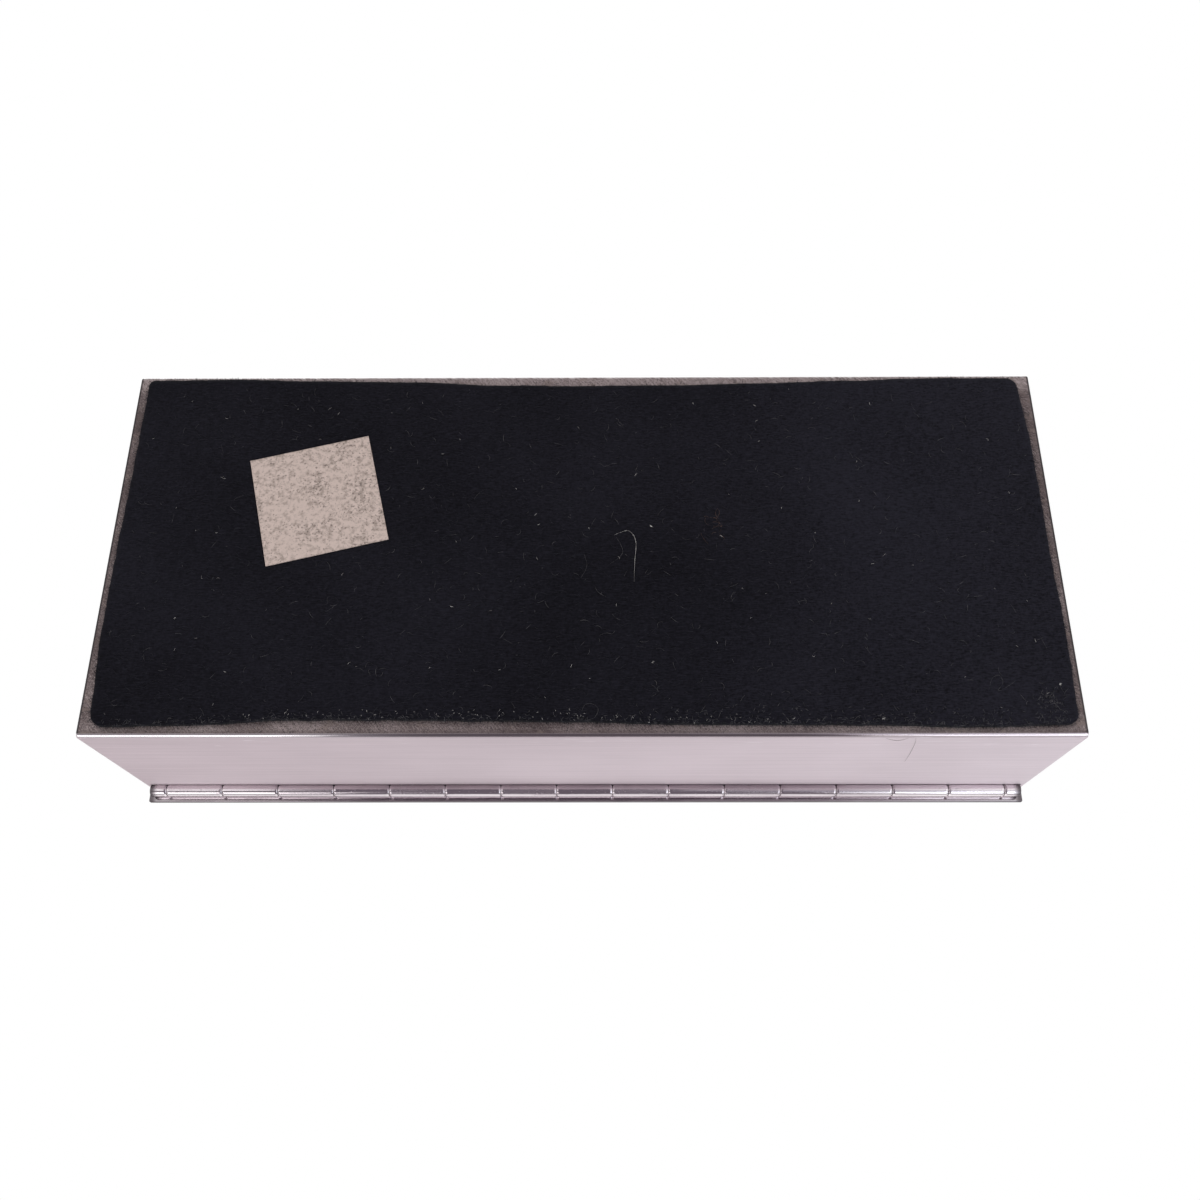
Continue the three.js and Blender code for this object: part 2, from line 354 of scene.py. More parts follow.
UPRIGHT = math.pi / 2
only_camera = ("diffuse", "glossy", "transmission", "shadow")
only_metal = ("camera", "diffuse", "transmission", "shadow")
ground = rectangle(FLOOR_SIZE, FLOOR_SIZE, (0, 0, -FLOOR_DROP))
stage_piece("floor", ground, floor_paint(), only_camera)
cards = {
    "card overhead": (rectangle(0.2, 0.39, (-0.055, 0.105, -0.27)), CARD_COLOUR),
    "card behind": (rectangle(0.23, 0.3, (0, 0.3, -0.12), UPRIGHT), CARD_COLOUR),
    "ceiling": (rectangle(2.4, 2.4, (0, 0, -0.55)), ceiling_tone),
    "backdrop": (rectangle(1.1, 0.36, (0, 0.31, -0.37), UPRIGHT), backdrop_tone),
    "table card": (rectangle(1.6, 0.48, (0, 0.17, 0.45)), table_tone),
}
for name, (card, colour) in cards.items():
    stage_piece(name, card, card_paint(name + " paint", colour), only_metal)
room = bmesh.new()
bmesh.ops.create_cone(room, segments=64, radius1=ROOM_RADIUS, radius2=ROOM_RADIUS, depth=ROOM_HEIGHT)
stage_piece("grey panels", room, panel_paint(), only_metal)
print("a floor,", len(cards), "cards and the panels")

# %% [markdown]
# ## Steel finishes
# The walls are brushed: an abrasive belt leaves fine lines along the sheet. They are drawn as noise that is
# stretched along the belt's path, and move the colour, the roughness and a shallow bump together. The border
# round the felt was never polished, and old glue and dirt have dulled it. The colours also hold painted light
# and shade: lighter long strips and dark ends on the border, and a painted highlight and shade on the back
# bend.

# %% Brushed steel of the body
STEEL_DARK = (0.67, 0.58, 0.613)
STEEL_LIGHT = (0.83, 0.73, 0.77)
# The end plates' steel is the walls' steel darkened: a painted shade
END_SHADED_DARK = (0.545, 0.486, 0.508)
END_SHADED_LIGHT = (0.675, 0.61, 0.637)
STEEL_METAL = 0.88
BRUSHED = {"Anisotropic": 0.82, "Anisotropic_Rotation": 0.25}
SATIN = 0.46


def brush_lines(finish, along):
    """Fine and broad lines along X (0) or Y (1), as one height between 0 and 1."""
    fine, broad = [0.16 * MM] * 3, [0.7 * MM] * 3
    fine[along], broad[along] = 14 * MM, 60 * MM
    return 0.6 * finish.grain(fine, detail=3) + 0.4 * finish.grain(broad, detail=2)


def brushed_tone(finish, lines, dark=STEEL_DARK, light=STEEL_LIGHT):
    cloud = finish.grain([50 * MM] * 3, detail=3)
    return finish.mix((lines * 0.8 + cloud * 0.6 - 0.2).rise(0.2, 0.8), dark, light)


def end_plate_steel():
    finish = Finish("end steel")
    lines = brush_lines(finish, 1)
    return finish.surface(
        Base_Color=brushed_tone(finish, lines, END_SHADED_DARK, END_SHADED_LIGHT),
        Metallic=STEEL_METAL,
        Roughness=SATIN + 0.16 * lines,
        Normal=finish.bump(lines, 0.012 * MM, 0.5),
        **BRUSHED,
    )


# %% Body steel with a dull border
BEND_RADIUS = 1.0 * MM
BORDER_BROWN = (0.105, 0.075, 0.075)
BORDER_PALE = (0.44, 0.365, 0.36)
BARE_STROKE = (0.97, 0.95, 0.95)
GLUE = (0.27, 0.21, 0.19)
# Dark colour for specks of dirt and for the painted shade at the border's ends
SPECK_AND_END_SHADE = (0.03, 0.025, 0.028)
BEND_SHADE = (0.2, 0.165, 0.18)
# Bright colour for real scuffs on the back wall and for the painted highlight on the back bend
SCUFF_AND_PAINTED_HIGHLIGHT = (0.98, 0.92, 0.95)
STROKE_TURN = math.radians(-48)
FLAT_LIFT = 0.02 * MM
BEND_LIFT = 0.09 * MM


def body_steel():
    finish = Finish("body steel")
    x, y, z = finish.axes()
    lift = z - bottom
    front = y.rise(0, -0.5 * wall)
    dull = (lift * (1 - 0.92 * front)).rise(BEND_LIFT, FLAT_LIFT)
    bend = lift.rise(FLAT_LIFT, BEND_LIFT) * lift.rise(0.62 * BEND_RADIUS, 0.42 * BEND_RADIUS) * (1 - front)
    # Along the back bend, a painted highlight brightens the left part and a painted shade darkens the middle
    painted_bend_highlight = bend * x.rise(-0.1 * half_length, -0.5 * half_length)
    shaded = bend * abs(x - 0.05 * half_length).rise(0.65 * half_length, 0.35 * half_length)
    lines = brush_lines(finish, 0)
    steel = finish.mix(painted_bend_highlight, brushed_tone(finish, lines), SCUFF_AND_PAINTED_HIGHLIGHT)
    scuffs = finish.grain((5 * MM, 0.4 * MM, 0.4 * MM), detail=0).rise(0.78, 0.84)
    steel = finish.mix(0.5 * scuffs * lift.rise(9 * MM, 5 * MM) * (1 - front), steel, SCUFF_AND_PAINTED_HIGHLIGHT)
    steel = finish.mix(0.75 * shaded, steel, BEND_SHADE)

    strokes = finish.grain((2.0 * MM, 0.26 * MM, 1), detail=2, turn=STROKE_TURN).rise(0.44, 0.66)
    grains = finish.grain([0.3 * MM] * 3, detail=3, roughness=0.65).rise(0.36, 0.64)
    patches = finish.grain([9 * MM] * 3, detail=3)
    far = y.rise(-0.86 * wall, -0.95 * wall)
    close = y.rise(0.86 * wall, 0.95 * wall)
    side = abs(x).rise(0.955 * half_length, 0.975 * half_length)
    # lit paints light: the border's far and near strips lighter and its ends a little darker
    lit = 0.34 * far + 0.17 * close - 0.06 * side
    pale = (0.4 * grains + strokes * (0.2 + 0.4 * far) + lit + 0.9 * patches - 0.43).rise(0.0, 1.0)
    stain = finish.mix(pale, BORDER_BROWN, BORDER_PALE)
    bare = strokes * y.rise(1.0 * MM - wall, 0.2 * MM - wall)
    stain = finish.mix(bare, stain, BARE_STROKE)
    # The border turns darker brown towards the back bend
    stain = finish.mix(0.45 * y.rise(wall - 1.7 * MM, wall - 0.9 * MM), stain, BORDER_BROWN)
    smear = finish.grain((3 * MM, 1.6 * MM, 1 * MM), detail=4, roughness=0.65).rise(0.56, 0.66)
    stain = finish.mix(smear * 0.5, stain, GLUE)
    specks = finish.grain([0.35 * MM] * 3, detail=1).rise(0.62, 0.7)
    stain = finish.mix(specks * 0.75, stain, SPECK_AND_END_SHADE)
    # A painted shade draws a dark line along the border at each end
    end = abs(x).rise(half_length - 0.55 * MM, half_length - 0.3 * MM)
    stain = finish.mix(end * 0.85, stain, SPECK_AND_END_SHADE)
    satin = (SATIN + 0.16 * lines) * (1 - dull) * (1 - bend)
    return finish.surface(
        Base_Color=finish.mix(dull, steel, stain),
        Metallic=STEEL_METAL - 0.4 * dull * (1 - bare),
        Roughness=satin + 0.1 * bend + dull * (0.5 - 0.12 * strokes + 0.1 * smear) * (1 - 0.8 * bare),
        Normal=finish.bump(lines * (1 - bend) + dull * (strokes + grains + smear), 0.012 * MM, 0.5),
        **BRUSHED,
    )


# %% Polished steel of the hinge and the lid
POLISHED = (0.94, 0.87, 0.9)
WORN_AND_SHADED_POLISH = (0.58, 0.505, 0.545)
# Near-black painted shade for the hinge's cut ends, the lid's edges and the lip strips and ends next to them
PAINTED_EDGE_SHADE = (0.075, 0.06, 0.068)


def hinge_finish(name, satin):
    """Bright steel with scratches, specks and wear, a painted shade towards the middle of the hinge, and a
    rougher end with a painted shade where the stock was cut off.
    """
    finish = Finish(name)
    x = finish.axes()[0]
    scratches = finish.grain((9 * MM, 0.12 * MM, 0.12 * MM), detail=2).rise(0.62, 0.72)
    specks = finish.grain((0.5 * MM, 0.25 * MM, 0.25 * MM), detail=2).rise(0.64, 0.72)
    handled = finish.grain((16 * MM, 3 * MM, 3 * MM), detail=2).rise(0.4, 0.7)
    # A painted shade darkens the hinge towards its middle
    painted_middle_shade = abs(x).rise(0.9 * half_length, 0.6 * half_length)
    worn = (0.5 * scratches + 0.8 * specks + 0.3 * handled + 0.5 * painted_middle_shade).rise(0.0, 1.0)
    # A painted shade darkens the last two millimetres at each end of the hinge, which is also rougher there
    cut = abs(x).rise(leaf_high.x - 2.0 * MM, leaf_high.x - 0.4 * MM)
    return finish.surface(
        Base_Color=finish.mix(0.9 * cut, finish.mix(worn, POLISHED, WORN_AND_SHADED_POLISH), PAINTED_EDGE_SHADE),
        Metallic=1.0,
        Roughness=satin + 0.14 * scratches + 0.2 * specks + 0.06 * handled + 0.25 * cut,
        Normal=finish.bump(scratches + specks, 0.008 * MM, 0.4),
    )


def lid_steel():
    """Brushed on top and inside, bright under the lips, and rough with a painted shade on the sawn edges and
    on the strips and ends of the lips next to them.
    """
    finish = Finish("lid steel")
    x, y, z = finish.axes()
    top = z.rise(lid_high.z - 0.1 * MM, lid_high.z - 0.02 * MM)
    # edge picks the lid's side faces, which get a painted shade
    edge = z.rise(lid_low.z + 0.1 * MM, lid_low.z + 0.25 * MM)
    edge = edge * z.rise(lid_high.z - 0.05 * MM, lid_high.z - 0.2 * MM)
    lines = brush_lines(finish, 0)
    brushed = top.math("MAXIMUM", top, abs(y).rise(wall, wall - 1.5 * MM))
    scratches = finish.grain((9 * MM, 0.12 * MM, 0.12 * MM), detail=2).rise(0.62, 0.72) * (1 - brushed)
    # A painted shade darkens the outer strip of each lip and, more strongly, its ends
    painted_lip_shade = abs(y).rise(lid_high.y - 1.0 * MM, lid_high.y - 0.55 * MM)
    bright = finish.mix(0.38 + 0.5 * scratches, POLISHED, WORN_AND_SHADED_POLISH)
    corner = abs(x).rise(half_length - 3.0 * MM, half_length - 0.6 * MM)
    bright = finish.mix(painted_lip_shade.math("MAXIMUM", 0.5 * painted_lip_shade, 0.9 * corner), bright, PAINTED_EDGE_SHADE)
    faces = finish.mix(brushed, bright, brushed_tone(finish, lines))
    return finish.surface(
        Base_Color=finish.mix(0.9 * edge, faces, PAINTED_EDGE_SHADE),
        Metallic=1 - 0.08 * brushed,
        Roughness=0.1 + 0.1 * scratches + brushed * (0.26 + 0.16 * lines) + 0.3 * edge,
        Normal=finish.bump(scratches + brushed * 1.5 * lines, 0.008 * MM, 0.4),
    )


# %% [markdown]
# ## Making a piece
# Every new piece is built in a bmesh, becomes an object at the origin, rides on a body of the design and
# stands for the node that it replaces. Sheet metal is drawn as a thin surface: a Solidify modifier gives it
# its thickness inwards, and a small Bevel breaks its sharp edges as a file would.

# %% From a bmesh to a piece
def new_piece(name, bm, material, body, slot, *nodes):
    mesh = bpy.data.meshes.new(name)
    bm.to_mesh(mesh)
    bm.free()
    for face in mesh.polygons:
        face.use_smooth = True
    mesh.materials.append(material)
    piece = bpy.data.objects.new(name, mesh)
    bpy.context.scene.collection.objects.link(piece)
    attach(piece, body)
    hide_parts(*nodes)
    return piece


def flat_faces(piece):
    """Keeps flat faces flat under smooth shading."""
    normals = piece.modifiers.new("flat faces", "WEIGHTED_NORMAL")
    normals.weight = 100
    return normals


def soft_edges(piece, width):
    """Rounds the sharp edges of a finished sheet."""
    bevel = piece.modifiers.new("broken edges", "BEVEL")
    bevel.width = width
    bevel.segments = 2
    bevel.limit_method = "ANGLE"
    bevel.angle_limit = math.radians(40)
    flat_faces(piece).keep_sharp = True


def thicken(piece, thickness):
    """Gives a sheet its thickness on the side away from its normals."""
    wall_modifier = piece.modifiers.new("sheet thickness", "SOLIDIFY")
    wall_modifier.thickness = thickness
    wall_modifier.offset = -1
    wall_modifier.use_even_offset = True


def round_edges(bm, edges, radius, segments=4):
    bmesh.ops.bevel(bm, geom=edges, offset=radius, segments=segments, affect="EDGES", profile=0.5,
                    material=-1)


def face_towards(bm, direction):
    """Turns a sheet's faces all one way, with its largest face towards the direction."""
    bmesh.ops.recalc_face_normals(bm, faces=bm.faces)
    largest = max(bm.faces, key=lambda face: face.calc_area())
    if largest.normal.dot(Vector(direction)) < 0:
        bmesh.ops.reverse_faces(bm, faces=bm.faces)


# %% [markdown]
# ## The folded body
# The front wall, bottom and back wall are one sheet of steel, folded twice over a bar. We do the same: a flat
# rectangle, two edges drawn up as walls, and a bevel on the fold lines for the bends. The rim of the back
# wall stops lower along the hinge, so there only its two ends are drawn up to the full height.

# %% Fold the body
BEND_SEGMENTS = 10
NOTCH_MARGIN = 0.2 * MM
NOTCH_GAP = 0.04 * MM
STEEL_EDGE = 0.12 * MM


def draw_up(bm, edges, height):
    grown = bmesh.ops.extrude_edge_only(bm, edges=edges)["geom"]
    verts = [part for part in grown if isinstance(part, bmesh.types.BMVert)]
    bmesh.ops.translate(bm, vec=(0, 0, height), verts=verts)


def edges_where(bm, test):
    """Edges whose two ends both pass a test on their place."""
    return [edge for edge in bm.edges if all(test(vert.co) for vert in edge.verts)]


def near(a, b):
    return abs(a - b) < 0.01 * MM


def middle_x(edge):
    return sum(vert.co.x for vert in edge.verts) / 2


def fold_body():
    notch_end = leaf_high.x + NOTCH_MARGIN
    beside = wall - hinge_axis.y
    notch_floor = hinge_axis.z - math.sqrt(barrel_radius ** 2 - beside ** 2) - NOTCH_GAP
    bm = bmesh.new()
    bmesh.ops.create_grid(bm, x_segments=1, y_segments=1, size=0.5)
    bmesh.ops.scale(bm, vec=(2 * half_length, 2 * wall, 1), verts=bm.verts)
    bmesh.ops.translate(bm, vec=(0, 0, bottom), verts=bm.verts)
    draw_up(bm, edges_where(bm, lambda co: near(co.y, -wall)), rim - bottom)
    draw_up(bm, edges_where(bm, lambda co: near(co.y, wall) and near(co.z, bottom)), notch_floor - bottom)
    for x in (-notch_end, notch_end):
        everything = [*bm.verts, *bm.edges, *bm.faces]
        bmesh.ops.bisect_plane(bm, geom=everything, plane_co=(x, 0, 0), plane_no=(1, 0, 0))
    back_rim = edges_where(bm, lambda co: near(co.z, notch_floor) and near(co.y, wall))
    draw_up(bm, [edge for edge in back_rim if abs(middle_x(edge)) > notch_end], rim - notch_floor)
    folds = edges_where(bm, lambda co: near(co.z, bottom) and near(abs(co.y), wall))
    folds = [edge for edge in folds if near(edge.verts[0].co.y, edge.verts[1].co.y)]
    round_edges(bm, folds, BEND_RADIUS, BEND_SEGMENTS)
    face_towards(bm, (0, 0, -1))
    piece = new_piece("steel_body", bm, body_steel(), "box", "brushed_body", "body_channel")
    thicken(piece, sheet)
    soft_edges(piece, STEEL_EDGE)
    return piece


steel_body = fold_body()
print(steel_body.name, "folds from", len(steel_body.data.polygons), "faces")

# %% [markdown]
# ## End plates
# A plate is let into each end of the channel and welded. Its two lower corners are rounded to clear the
# inside of the bends. A block with two bevelled edges gives that at once.

# %% End plates
END_CORNER = 0.3 * MM


def block(bm, low, high):
    bmesh.ops.create_cube(bm, size=1)
    bmesh.ops.scale(bm, vec=high - low, verts=bm.verts)
    bmesh.ops.translate(bm, vec=(low + high) / 2, verts=bm.verts)


def end_plate(side):
    low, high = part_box("end_plate_" + side)
    bm = bmesh.new()
    block(bm, low, high)
    lower = edges_where(bm, lambda co: near(co.z, low.z))
    lower = [edge for edge in lower if not near(edge.verts[0].co.x, edge.verts[1].co.x)]
    round_edges(bm, lower, END_CORNER)
    piece = new_piece("steel_end_" + side, bm, end_steel, "box", "brushed_body", "end_plate_" + side)
    soft_edges(piece, STEEL_EDGE)
    return piece


end_steel = end_plate_steel()
for side in ("left", "right"):
    print(end_plate(side).name, "let into its end")

# %% [markdown]
# ## The lid
# The lid is a plate that lies on the rims, with a lip past the front for the fingers and one behind for the
# hinge. Its top and inside are brushed as the walls are, its lips are bright underneath, and its edges are
# rough from the saw, with a painted shade on them and on the strips and ends of the lips next to them.

# %% Lid plate
LID_EDGE = 0.3 * MM


def lid_plate():
    bm = bmesh.new()
    block(bm, lid_low, lid_high)
    round_edges(bm, bm.edges[:], LID_EDGE)
    piece = new_piece("steel_lid", bm, lid_steel(), "lid", "polished_steel", "lid_plate")
    flat_faces(piece)
    return piece


print(lid_plate().name, "laid on the rims")

# %% [markdown]
# ## The continuous hinge
# A continuous hinge is two strips of sheet. The edge of each is cut into tabs, and every tab is rolled round
# one long pin, so that the knuckles of the two leaves take turns along it. We roll them as the press does:
# the strip's edge is divided at the cuts, every second stretch is drawn out as a tab, and a spin about the
# pin rolls it up. The stock is cut to the box's length, so the outermost knuckle at each end is a short one.
# The ends of the knuckles are tumbled round, which gives every joint its two light rims.

# %% Divide and roll a leaf
KNUCKLES = 15
KNUCKLE_PITCH = 12.7 * MM
KNUCKLE_GAP = 0.1 * MM
KNUCKLE_EDGE = 0.06 * MM
ROLL_STEPS = 40
ROUND_REACH = 0.55 * MM
ROUND_DEPTH = 0.16 * MM
ROUND_CUTS = 4

hinge_end = leaf_high.x
knuckle_half = (KNUCKLE_PITCH - KNUCKLE_GAP) / 2


def knuckle_span(k):
    """Both ends of a knuckle along X; numbers -1 and KNUCKLES are the short ones."""
    middle = (k - (KNUCKLES - 1) / 2) * KNUCKLE_PITCH
    return max(middle - knuckle_half, -hinge_end), min(middle + knuckle_half, hinge_end)


def strip(bm, start):
    """One edge along X at the given Y and Z, cut at the ends of every knuckle and where they are round."""
    cuts = set()
    for k in range(-1, KNUCKLES + 1):
        low, high = knuckle_span(k)
        for n in range(ROUND_CUTS + 1):
            inset = ROUND_REACH * n / ROUND_CUTS
            cuts |= {round(low + inset, 7), round(high - inset, 7)}
    verts = [bm.verts.new((x, *start)) for x in sorted(cuts)]
    return [bm.edges.new(pair) for pair in zip(verts, verts[1:])]


def round_knuckles(bm):
    """Draws the ends of the rolled knuckles in towards the pin."""
    for vert in bm.verts:
        arm = Vector((0, vert.co.y - hinge_axis.y, vert.co.z - hinge_axis.z))
        from_middle = abs(math.remainder(vert.co.x, KNUCKLE_PITCH))
        inset = min(knuckle_half - from_middle, hinge_end - abs(vert.co.x))
        past = 1 - inset / ROUND_REACH
        if past > 0 and near(arm.length, barrel_radius):
            vert.co -= arm.normalized() * ROUND_DEPTH * past * past


def pull(bm, edges, y, z):
    """Draws edges out to a new Y and Z and returns the new edges."""
    grown = bmesh.ops.extrude_edge_only(bm, edges=edges)["geom"]
    for part in grown:
        if isinstance(part, bmesh.types.BMVert):
            part.co.y, part.co.z = y, z
    return [part for part in grown if isinstance(part, bmesh.types.BMEdge)
            and all(near(vert.co.y, y) and near(vert.co.z, z) for vert in part.verts)]


def tab_edges(edges, first):
    """The edges that lie on every second knuckle."""
    wanted = [knuckle_span(k) for k in range(first, KNUCKLES + 1, 2)]
    return [edge for edge in edges if any(low < middle_x(edge) < high for low, high in wanted)]


def roll(bm, edges, angle):
    """Rolls tabs about the pin."""
    geom = [*edges, *{vert for edge in edges for vert in edge.verts}]
    turn = math.radians(angle)
    bmesh.ops.spin(bm, geom=geom, cent=hinge_axis, axis=(1, 0, 0), angle=turn, steps=ROLL_STEPS)


def on_barrel(angle):
    turn = math.radians(angle)
    return (hinge_axis.y + barrel_radius * math.cos(turn), hinge_axis.z + barrel_radius * math.sin(turn))


def leaf_piece(name, bm, steel, body, node, outside):
    face_towards(bm, outside)
    piece = new_piece(name, bm, steel, body, "polished_steel", node)
    thicken(piece, leaf_sheet)
    soft_edges(piece, KNUCKLE_EDGE)
    return piece


# %% Leaf of the lid
# Where on the barrel the tabs meet it, and how far they are rolled from there, in degrees
LID_TAB = 90
LID_ROLL = -300
TAB_CLEARANCE = 0.2 * MM

lid_leaf_steel = hinge_finish("hinge steel of the lid", 0.1)
leaf_edge = hinge_axis.y - barrel_radius - TAB_CLEARANCE


def lid_leaf():
    bm = bmesh.new()
    edge = strip(bm, (lid_leaf_low.y, rim))
    edge = pull(bm, edge, leaf_edge, rim)
    tabs = pull(bm, tab_edges(edge, -1), *on_barrel(LID_TAB))
    roll(bm, tabs, LID_ROLL)
    round_knuckles(bm)
    return leaf_piece("hinge_of_lid", bm, lid_leaf_steel, "lid", "hinge_leaf_lid", (0, 0, 1))


print(lid_leaf().name, "rolled")

# %% Leaf of the body
BODY_TAB = 176
BODY_ROLL = 310
LEAF_GAP = 0.2 * MM

body_leaf_steel = hinge_finish("hinge steel of the body", 0.2)


def body_leaf():
    seat = rim - LEAF_GAP - 2 * leaf_sheet
    bm = bmesh.new()
    edge = strip(bm, (wall - sheet, leaf_low.z))
    edge = pull(bm, edge, wall - sheet, seat)
    edge = pull(bm, edge, leaf_edge, seat)
    tabs = pull(bm, tab_edges(edge, 0), *on_barrel(BODY_TAB))
    roll(bm, tabs, BODY_ROLL)
    round_knuckles(bm)
    return leaf_piece("hinge_of_body", bm, body_leaf_steel, "box", "hinge_leaf_body", (0, 1, 0))


print(body_leaf().name, "rolled")

# %% Hinge pin
PIN_SIDES = 32
PIN_DOME = 0.25 * MM
PIN_INSET = 0.4 * MM


def hinge_pin():
    bm = bmesh.new()
    bmesh.ops.create_cone(bm, cap_ends=True, segments=PIN_SIDES, radius1=pin_radius, radius2=pin_radius,
                          depth=2 * (hinge_end - PIN_INSET))
    bmesh.ops.rotate(bm, cent=(0, 0, 0), matrix=Matrix.Rotation(math.pi / 2, 3, "Y"), verts=bm.verts)
    bmesh.ops.translate(bm, vec=hinge_axis, verts=bm.verts)
    ends = [edge for edge in bm.edges if near(edge.verts[0].co.x, edge.verts[1].co.x)]
    round_edges(bm, ends, PIN_DOME)
    piece = new_piece("hinge_rod", bm, body_leaf_steel, "box", "polished_steel", "hinge_pin")
    flat_faces(piece)
    return piece


print(hinge_pin().name, "pushed through the knuckles")

# %% [markdown]
# ## The felt base
# The base is black wool felt, cut by hand with scissors and glued on, so its edge wanders and its corners
# are clipped unevenly. A grid is stretched to that outline, its face gets the shallow waves of pressed wool,
# and its rim is drawn up to the steel. The nap on it is real strands, since a bump can't stand off an edge.

# %% Hand-cut outline
# How far the cut strays outwards from an even border, in mm, at even steps
# from left to right or from front to back
CUT_BACK = (0.6, 0.3, -0.7, -0.7, -0.5, -0.3, 0.2, 0.3, 0.4, 0.8, 0.3)
CUT_FRONT = (0.7, 0.9, 0.4, 0.1, -0.8, -1.0, -0.9, -0.4, 0.2, 0.8, 0.8)
CUT_LEFT = (0.0, 0.1, 0.5, 0.6, -0.3)
CUT_RIGHT = (-0.8, 0.3, 0.3, 0.8, 0.6)
CLIPPED_CORNERS = {(-1, -1): 1.2 * MM, (1, -1): 2.2 * MM, (-1, 1): 2.3 * MM, (1, 1): 1.8 * MM}
SCISSOR_STEP = 4 * MM
SCISSOR_STRAY = 0.16 * MM
FRAY_STEP = 0.9 * MM
FRAY = 0.1 * MM


def along(values, share):
    """A smooth curve through even steps; share runs from 0 to 1."""
    place = min(max(share, 0), 1) * (len(values) - 1)
    k = min(int(place), len(values) - 2)
    t = place - k
    return values[k] + (values[k + 1] - values[k]) * t * t * (3 - 2 * t)


def clip_corner(x, y):
    """Moves a place in a corner square into the quarter disc that fits it."""
    radius = CLIPPED_CORNERS[math.copysign(1, x), math.copysign(1, y)]
    inner_x, inner_y = felt_high.x - radius, felt_high.y - radius
    p, q = (abs(x) - inner_x) / radius, (abs(y) - inner_y) / radius
    if p > 0 and q > 0:
        x = math.copysign(inner_x + radius * p * math.sqrt(1 - q * q / 2), x)
        y = math.copysign(inner_y + radius * q * math.sqrt(1 - p * p / 2), y)
    return x, y


def cut_place(u, v):
    """The place on the cut felt for u and v from -1 to 1 over an even rectangle."""
    x, y = clip_corner(u * felt_high.x, v * felt_high.y)
    across, forth = (u + 1) / 2, (v + 1) / 2
    stray_x = along(CUT_RIGHT if u > 0 else CUT_LEFT, forth) * MM
    stray_y = along(CUT_BACK if v > 0 else CUT_FRONT, across) * MM
    wobble = SCISSOR_STRAY * noise.noise(Vector((x, y, 0)) / SCISSOR_STEP)
    wobble += FRAY * noise.noise(Vector((x, y, 0)) / FRAY_STEP)
    return x + (u ** 3) * (stray_x + wobble), y + (v ** 3) * (stray_y + wobble)


# %% Felt sheet
FELT_CELLS = (236, 96)
FELT_RELIEF = 0.09 * MM
FELT_FACE = 0.17 * MM
FELT_RIM = 0.35 * MM
FELT_WAVE = 9 * MM
FELT_FURROW = 1.1 * MM
FELT_BLACK = (0.003, 0.0027, 0.0045)
FELT_GREY = (0.0175, 0.0166, 0.0245)
LABEL_SIDE = 26 * MM
LABEL_TURN = math.radians(-13.9)
LABEL_SEAT = 0.32 * MM
BED_MARGIN = 0.2 * MM

label_middle = (label_low + label_high) / 2
label_turn = Matrix.Rotation(LABEL_TURN, 3, "Z")


def off_label(place):
    """How far a place lies outside the label's square; below 0 it lies under the label."""
    local = label_turn.inverted() @ Vector((place.x - label_middle.x, place.y - label_middle.y, 0))
    return max(abs(local.x), abs(local.y)) - LABEL_SIDE / 2


def felt_relief(place):
    """Height of the felt's open face: broad waves, the nap, and the bed that the label has pressed."""
    furrow = noise.noise(Vector((place.x / 4, place.y, 0)) / FELT_FURROW)
    wave = 0.5 * noise.noise(place / FELT_WAVE) + 0.5 * furrow
    bed = LABEL_SEAT if off_label(place) < BED_MARGIN else 0
    return max(FELT_FACE + FELT_RELIEF * wave, bed)


def felt_material():
    finish = Finish("black felt")
    nap = finish.grain((1.6 * MM, 0.16 * MM, 0.16 * MM), detail=3, roughness=0.6, distortion=0.4)
    wool = finish.grain([0.5 * MM] * 3, detail=3, roughness=0.65)
    cloud = finish.grain([40 * MM] * 3, detail=2)
    worn = finish.axes()[0].rise(0.1 * half_length, 0.9 * half_length)
    texture = 0.6 * nap + 0.4 * wool
    tone = (texture + worn * (0.8 * texture - 0.27) + 0.3 * cloud).rise(0.45, 0.95)
    return finish.surface(
        Base_Color=finish.mix(tone, FELT_BLACK, FELT_GREY),
        Roughness=0.95,
        Specular_IOR_Level=0.06,
        Sheen_Weight=0.05,
        Sheen_Roughness=0.4,
        Normal=finish.bump(nap + wool, 0.08 * MM, 0.6),
    )


def felt_pad():
    bm = bmesh.new()
    bmesh.ops.create_grid(bm, x_segments=FELT_CELLS[0], y_segments=FELT_CELLS[1], size=1)
    for vert in bm.verts:
        vert.co.x, vert.co.y = cut_place(vert.co.x, vert.co.y)
        vert.co.z = felt_relief(vert.co)
    edge = [part for part in bm.edges if part.is_boundary]
    for height in (FELT_RIM, felt_high.z):
        grown = bmesh.ops.extrude_edge_only(bm, edges=edge)["geom"]
        for part in grown:
            if isinstance(part, bmesh.types.BMVert):
                part.co.z = height
        edge = [part for part in grown if isinstance(part, bmesh.types.BMEdge) and part.is_boundary]
    bmesh.ops.edgeloop_fill(bm, edges=edge)
    bmesh.ops.recalc_face_normals(bm, faces=bm.faces)
    return new_piece("felt_pad", bm, felt_material(), "box", "felt", "base_felt")


felt = felt_pad()
print(felt.name, "has", len(felt.data.polygons), "faces")

# %% [markdown]
# ## Strands: nap, edge fuzz and lint
# Each strand is one curve with a thin round section, and all curves of a kind become one mesh. Most lie along
# the box, as the felt was brushed, and those at the edge stand out past the cut. Pale lint and a few curly
# hairs lie on top, as they do on any black felt.

# %% Strand maker
STRAND_TIP = 0.45


